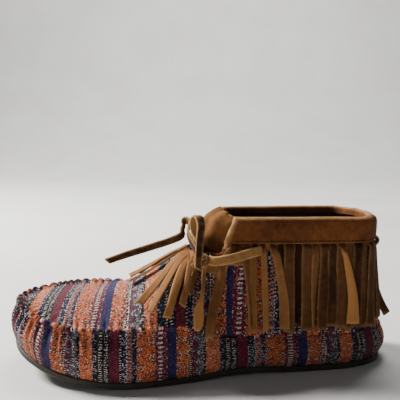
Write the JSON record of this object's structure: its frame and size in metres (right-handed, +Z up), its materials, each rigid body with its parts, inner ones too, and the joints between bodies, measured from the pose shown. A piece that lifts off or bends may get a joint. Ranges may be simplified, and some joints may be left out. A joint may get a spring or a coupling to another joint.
{
  "type": "ankle boot",
  "caption": "Low moccasin ankle boot for the left foot with a gathered toe seam, suede fringe, folded cuff, tongue, lace tied in a bow and a thin flat sole.",
  "frame": {"origin": "on the floor under the middle of the boot's box, its free lace left out", "axes": "+Z up, +X towards the heel, +Y towards the inner side of the foot"},
  "size_m": [0.2588, 0.0954, 0.1065],
  "materials": {
    "sole_rubber": "smooth matt rubber, darker at the edge",
    "insole_felt": "plain felt",
    "woven_fabric": "coarse woven cloth with orange, navy, burgundy and grey stripes",
    "suede": "napped tan suede",
    "lace_suede": "flat suede lace"
  },
  "bodies": {
    "root": {"outsole": "sole_rubber", "insole": "insole_felt", "upper": "woven_fabric", "tongue": "suede", "cuff": "suede", "fringe": "suede", "lace_bar_outer": "lace_suede", "lace_bar_inner": "lace_suede", "lace_heel_loop": "lace_suede", "lace_knot": "lace_suede", "lace_loop": "lace_suede", "lace_end": "lace_suede"}
  },
  "joints": []
}
